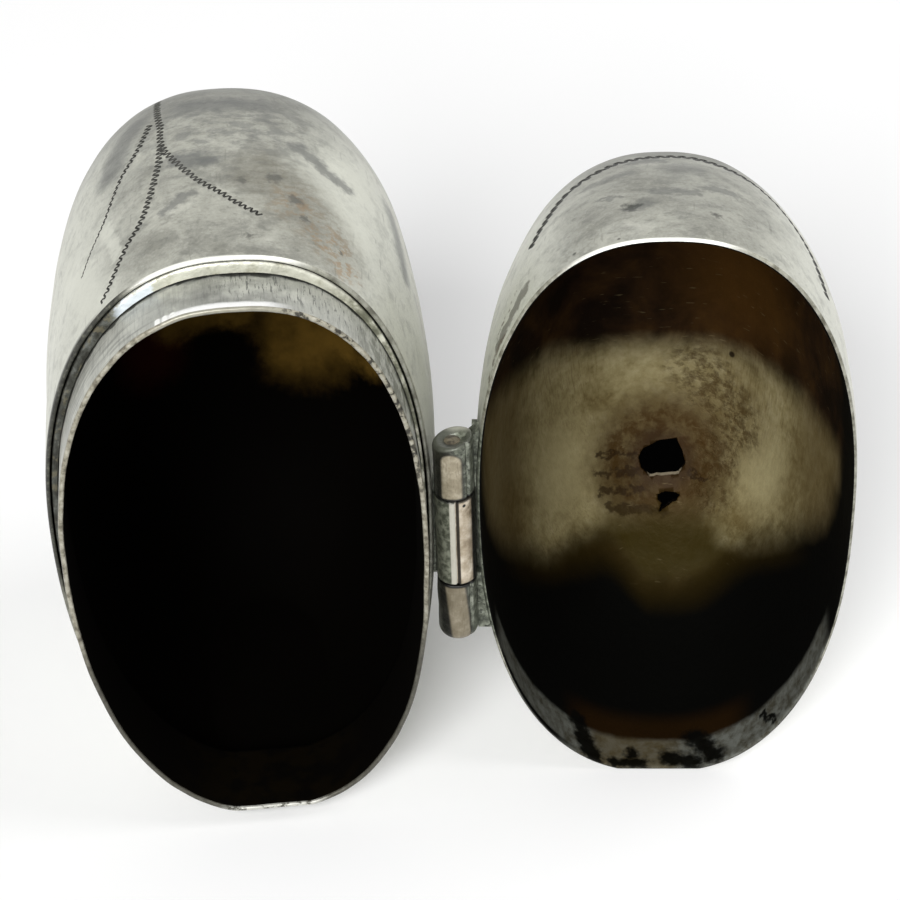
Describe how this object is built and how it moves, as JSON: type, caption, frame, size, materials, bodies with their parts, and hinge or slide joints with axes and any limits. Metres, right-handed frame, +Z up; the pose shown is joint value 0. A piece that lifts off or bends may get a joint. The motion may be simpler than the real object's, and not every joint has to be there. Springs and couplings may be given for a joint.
{
  "type": "perfume box",
  "caption": "Egg-shaped silver scent box, flattened to an oval, standing open on a side hinge, with a deep half that carries a bezel and a shallower domed lid.",
  "frame": {"origin": "centre of the bounding box on the surface the box stands on", "axes": "+Z up along the hinge pin, -Y the way the two mouths face, +X from the deep half towards the lid"},
  "size_m": [0.0566, 0.0368, 0.0479],
  "materials": {
    "body_silver": "worn silver sheet, grey tarnish outside, near-black tarnish inside",
    "ring_silver": "worn silver, pale where rubbed",
    "bezel_silver": "silver with fine rubbed scratches",
    "body_plate_silver": "dull silver with grey solder",
    "knuckle_silver": "silver polished by use",
    "pin_silver": "dull silver wire",
    "lid_silver": "worn silver sheet, brown-black tarnish inside",
    "lid_plate_silver": "dull silver with grey solder"
  },
  "bodies": {
    "body": {"body_shell": "body_silver", "seat_ring": "ring_silver", "bezel": "bezel_silver", "body_hinge_plate": "body_plate_silver", "body_knuckle": "knuckle_silver"},
    "lid": {"lid_shell": "lid_silver", "lid_hinge_plate": "lid_plate_silver", "lid_upper_knuckle": "knuckle_silver", "lid_lower_knuckle": "knuckle_silver", "hinge_pin": "pin_silver"}
  },
  "joints": [
    {"name": "lid_hinge", "type": "hinge", "parent": "body", "child": "lid", "pos_m": [-0.00025, -0.0146, 0.0224], "axis": [0, 0, 1], "range_deg": [-172.4, 7.4]}
  ]
}
